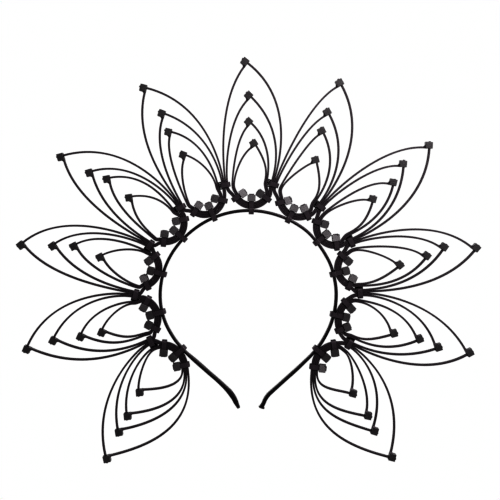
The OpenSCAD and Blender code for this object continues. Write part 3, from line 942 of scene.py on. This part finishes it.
def band_surface():
    """Rings of a rounded rectangle, a superellipse, along the band's line. Its half depth and half
    thickness fall off at both ends like a quarter circle."""
    line, thick = band_line(FINE_STEPS)
    s = lengths_along(line)
    at = np.unique(np.concatenate([s, END_RINGS, s[-1] - END_RINGS]))
    middle = read_at(at, s, line)
    ahead = unit_rows(read_at(at, s, np.gradient(line, axis=0)))
    thick_at = np.interp(at, s, thick)
    to_end = np.minimum(at, s[-1] - at)
    half_t = thick_at / 2 + np.where(thick_at < RING_T, RING_SWELL, 0)
    half_t = half_t * (BLUNT + (1 - BLUNT) * closing(to_end, END_EDGE))
    half_d = BAND_DEPTH / 2 * (BLUNT + (1 - BLUNT) * closing(to_end, END_DEPTH))
    u = np.linspace(0, 2 * np.pi, BAND_POINTS, endpoint=False)
    flat = middle[:, None] + quarter(ahead)[:, None] * (half_t[:, None] * squared(np.cos(u)))[..., None]
    points = np.concatenate([flat, (half_d[:, None] * squared(np.sin(u)))[..., None]], axis=2)
    v = placed(points, *FLAT)
    return v, outward(v, closed_grid(len(at), BAND_POINTS, cap=True)), STRAP


print("points of the band's surface:", len(band_surface()[0]))

# %% [markdown]
# The band's plastic is blacker than the ties' nylon, and smoother. It is the same recipe again,
# with a finer grain and less sheen.

# %% Make the band
satin = black_plastic(
    "Black satin band", dark=(0.0035, 0.0032, 0.0035), light=(0.006, 0.0055, 0.006),
    rough=(0.3, 0.4), grain=3800, grain_depth=0.00002, specular=0.3)
band = make_piece("hair_band", [band_surface()], [satin], "headband")
print("band faces:", len(band.data.polygons))

# %% [markdown]
# ## The floor
#
# The crown lies on its back on white paper, so large that no edge of it is in the picture. To the
# camera the paper is pure white, as behind a product on a light table. Every other ray meets plain
# white paper, so the light that it throws back on the ties is that of a real sheet.

# %% Floor
FLOOR_R, PAPER_COLOUR = 4, (0.8, 0.8, 0.8, 1)

bpy.ops.mesh.primitive_circle_add(vertices=96, radius=FLOOR_R, fill_type="NGON")
floor = bpy.context.object
floor.name = "floor"
paper = bpy.data.materials.new("White paper")
paper.use_nodes = True
tree = paper.node_tree
sheet = tree.nodes["Principled BSDF"]
sheet.inputs["Base Color"].default_value = PAPER_COLOUR
sheet.inputs["Roughness"].default_value = 0.9
sheet.inputs["Specular IOR Level"].default_value = 0.1
glow = node_of(tree, "ShaderNodeEmission", Strength=1.0)
seen = tree.nodes.new("ShaderNodeMixShader")
tree.links.new(tree.nodes.new("ShaderNodeLightPath").outputs["Is Camera Ray"], seen.inputs["Fac"])
tree.links.new(sheet.outputs[0], seen.inputs[1])
tree.links.new(glow.outputs[0], seen.inputs[2])
tree.links.new(seen.outputs[0], tree.nodes["Material Output"].inputs["Surface"])
floor.data.materials.append(paper)
print("floor: %.0f m across" % floor.dimensions.x)

# %% [markdown]
# ## Light
#
# One soft square light stands high on the upper right. It gives the slopes of the clamps' heads
# their shine, and an area light gives that shine soft edges.

# %% The key light
KEY_PLACE, KEY_SIZE, KEY_POWER = (0.49, 0.61, 1.25), 0.5, 27
CROWN_MIDDLE = (0, 0.03, 0)


def soft_light(name, place, size, power):
    """A square area light that points at the crown's middle."""
    data = bpy.data.lights.new(name, "AREA")
    data.size, data.energy = size, power
    lamp = bpy.data.objects.new(name, data)
    bpy.context.scene.collection.objects.link(lamp)
    lamp.location = place
    to_crown = Vector(CROWN_MIDDLE) - lamp.location
    lamp.rotation_euler = to_crown.to_track_quat("-Z", "Y").to_euler()
    return lamp


key = soft_light("key", KEY_PLACE, KEY_SIZE, KEY_POWER)
print("key light: %.0f W, %.2f m from the crown" % (key.data.energy, key.location.length))

# %% [markdown]
# The studio lights the rest: it is pale near the horizon and dim overhead, where the camera hangs,
# so faces that look straight up stay dark. The tone curve is steeper than usual, because a product
# picture of a black thing is printed with deep blacks.

# %% The studio and the tone curve
# The studio, by the height of a direction: the sine of its angle above the horizon. It is pale up
# to 30 degrees, and dim from 53 degrees on.
PALE_AT, PALE = 0.5, (2.0, 2.0, 2.0, 1)
DIM_AT, DIM = 0.8, (0.06, 0.06, 0.06, 1)
TONE_GAMMA = 0.51

world = bpy.data.worlds.new("Pale studio")
world.use_nodes = True
sky = world.node_tree
height = sky.nodes.new("ShaderNodeSeparateXYZ")
sky.links.new(sky.nodes.new("ShaderNodeTexCoord").outputs["Generated"], height.inputs[0])
ceiling = sky.nodes.new("ShaderNodeValToRGB")
low, high_up = ceiling.color_ramp.elements
low.position, low.color = PALE_AT, PALE
high_up.position, high_up.color = DIM_AT, DIM
sky.links.new(height.outputs["Z"], ceiling.inputs["Fac"])
sky.links.new(ceiling.outputs["Color"], sky.nodes["Background"].inputs["Color"])
bpy.context.scene.world = world
bpy.context.scene.view_settings.view_transform = "Standard"
bpy.context.scene.view_settings.gamma = TONE_GAMMA
print("the studio is %.0f times as pale at the horizon as overhead" % (PALE[0] / DIM[0]))

# %% [markdown]
# ## Camera
#
# The camera looks straight down. It hangs over a place a little to the left of the top petal's
# foot, and its lens is shifted, so that the whole crown is in the frame without a tilt. The height
# follows from the width of the picture on the plane of the straps: distance is to width as focal
# length is to sensor width.

# %% Camera
PIXELS, PIXEL_MM = 500, 0.743
LENS, SENSOR_W = 75, 36
# In millimetres on the crown's own plane: under the camera, and the middle of the picture
CAMERA_AT, PICTURE_MIDDLE = np.array([-8.0, 80.0]), np.array([1.1, 35.7])

picture_width = PIXELS * PIXEL_MM * MM
camera = bpy.data.objects.new("camera", bpy.data.cameras.new("camera"))
camera.data.lens, camera.data.sensor_width = LENS, SENSOR_W
camera.location = (*(CAMERA_AT * MM), MID_Z * MM + picture_width * LENS / SENSOR_W)
camera.data.shift_x, camera.data.shift_y = (PICTURE_MIDDLE - CAMERA_AT) * MM / picture_width
bpy.context.scene.collection.objects.link(camera)
bpy.context.scene.camera = camera
print("camera height: %.3f m" % camera.location.z)
